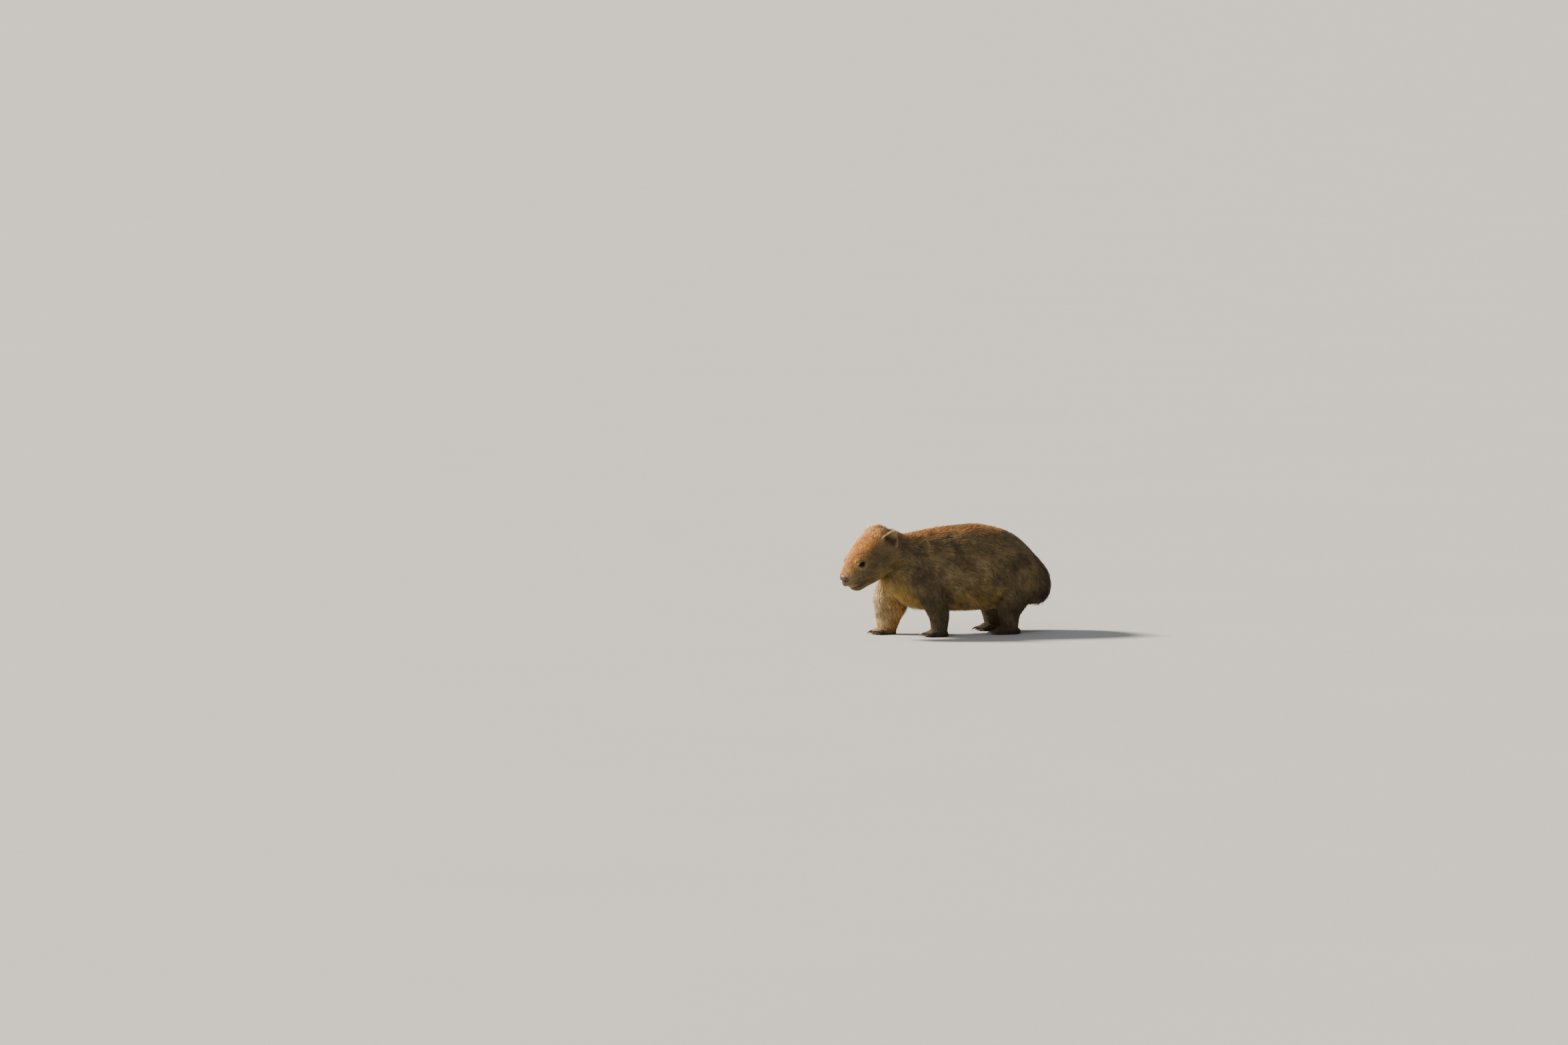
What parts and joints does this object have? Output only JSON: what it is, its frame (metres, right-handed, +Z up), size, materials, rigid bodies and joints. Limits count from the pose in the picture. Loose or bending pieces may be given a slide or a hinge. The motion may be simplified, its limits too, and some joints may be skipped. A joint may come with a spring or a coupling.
{
  "type": "wombat model",
  "caption": "Life-size still model of a common wombat walking with its head low and turned a little to its left.",
  "frame": {"origin": "on the floor, under the middle of the animal's box", "axes": "-X is the way the animal faces, so +X runs from nose to rump; -Y is its left side; +Z is up"},
  "size_m": [0.721, 0.2528, 0.3438],
  "materials": {
    "coat": "coarse brown fur with golden tips",
    "face": "short tan fur",
    "ear": "short pale fur on skin",
    "foot": "short dark fur, bare soles and horn claws",
    "nose": "bare moist skin",
    "eye": "dark glossy eye"
  },
  "bodies": {
    "root": {"neck": "coat", "torso": "coat", "rump": "coat", "tail": "coat", "foreleg_left": "coat", "forefoot_left": "foot", "foreleg_right": "coat", "forefoot_right": "foot", "hindleg_left": "coat", "hindfoot_left": "foot", "hindleg_right": "coat", "hindfoot_right": "foot", "nose": "nose", "head": "face", "lower_jaw": "face", "ear_left": "ear", "eye_left": "eye", "ear_right": "ear", "eye_right": "eye"}
  },
  "joints": []
}
